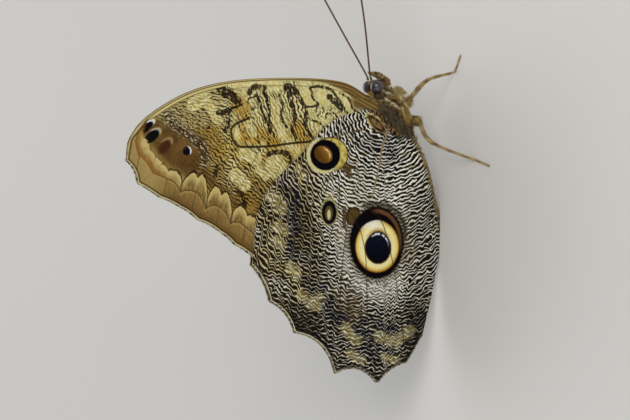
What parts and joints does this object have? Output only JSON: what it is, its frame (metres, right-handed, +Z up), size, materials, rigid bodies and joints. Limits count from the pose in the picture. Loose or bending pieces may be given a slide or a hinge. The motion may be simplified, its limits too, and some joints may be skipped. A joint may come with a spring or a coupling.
{
  "type": "owl butterfly",
  "caption": "Life-size owl butterfly at rest on the floor, wings closed over its back, with large eyespots on the striped hindwings.",
  "frame": {"origin": "on the floor, under the middle of the animal's overall box", "axes": "+X towards the head and antennae, +Y the animal's left side, +Z up from the floor it stands on"},
  "size_m": [0.0979, 0.0482, 0.083],
  "materials": {
    "coat": "golden-brown hair-like scales",
    "eye": "dark, smooth, faintly banded",
    "horn_brown": "satin dark brown",
    "leg": "scaled, satin brown",
    "forewing": "powdery scales in cream, ochre and dark brown",
    "hindwing": "powdery scales in fine dark and pale stripes"
  },
  "bodies": {
    "root": {"thorax": "coat", "head": "coat", "abdomen": "coat", "palp_left": "coat", "palp_right": "coat", "eye_left": "eye", "eye_right": "eye", "antenna_left": "horn_brown", "antenna_right": "horn_brown", "tongue": "horn_brown", "foreleg_left": "leg", "foreleg_right": "leg", "midleg_left": "leg", "midleg_right": "leg", "hindleg_left": "leg", "hindleg_right": "leg", "forewing_left": "forewing", "forewing_right": "forewing", "hindwing_left": "hindwing", "hindwing_right": "hindwing"}
  },
  "joints": []
}
